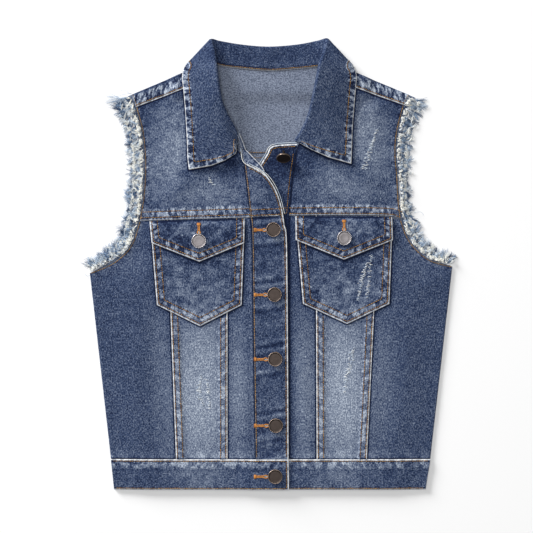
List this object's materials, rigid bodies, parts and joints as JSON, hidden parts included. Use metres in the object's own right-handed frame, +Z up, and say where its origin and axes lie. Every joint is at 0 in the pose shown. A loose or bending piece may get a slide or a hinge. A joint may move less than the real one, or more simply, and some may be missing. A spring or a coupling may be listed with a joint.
{
  "type": "denim vest",
  "caption": "Sleeveless cropped denim vest laid flat, with a folded collar, frayed armholes, flap pockets, a hem band and metal buttons.",
  "frame": {"origin": "middle of the vest, in the plane of the surface that its back lies on", "axes": "+X to the wearer's left, +Y from the hem to the collar, +Z up from the surface, out of the front"},
  "size_m": [0.4425, 0.5274, 0.0254],
  "materials": {
    "denim": "washed indigo twill",
    "denim_back": "matt reverse of indigo twill",
    "frayed_cotton": "loose cotton threads",
    "dark_metal": "worn dark plating",
    "pale_metal": "worn pale plating"
  },
  "bodies": {
    "root": {"waistband_back": "denim", "waistband_right": "denim", "waistband_left": "denim", "collar": "denim", "side_right": "denim", "middle_right": "denim", "centre_right": "denim", "yoke_right": "denim", "shoulder_right": "denim", "pocket_right": "denim", "flap_right": "denim", "placket_right": "denim", "side_left": "denim", "middle_left": "denim", "centre_left": "denim", "yoke_left": "denim", "shoulder_left": "denim", "pocket_left": "denim", "flap_left": "denim", "placket_left": "denim", "back_panel": "denim_back", "back_yoke": "denim_back", "fray_front_right": "frayed_cotton", "fray_front_left": "frayed_cotton", "fray_back_right": "frayed_cotton", "fray_back_left": "frayed_cotton", "button_1": "dark_metal", "button_2": "dark_metal", "button_3": "dark_metal", "button_4": "dark_metal", "button_5": "dark_metal", "button_6": "dark_metal", "button_pocket_right": "pale_metal", "button_pocket_left": "pale_metal"}
  },
  "joints": []
}
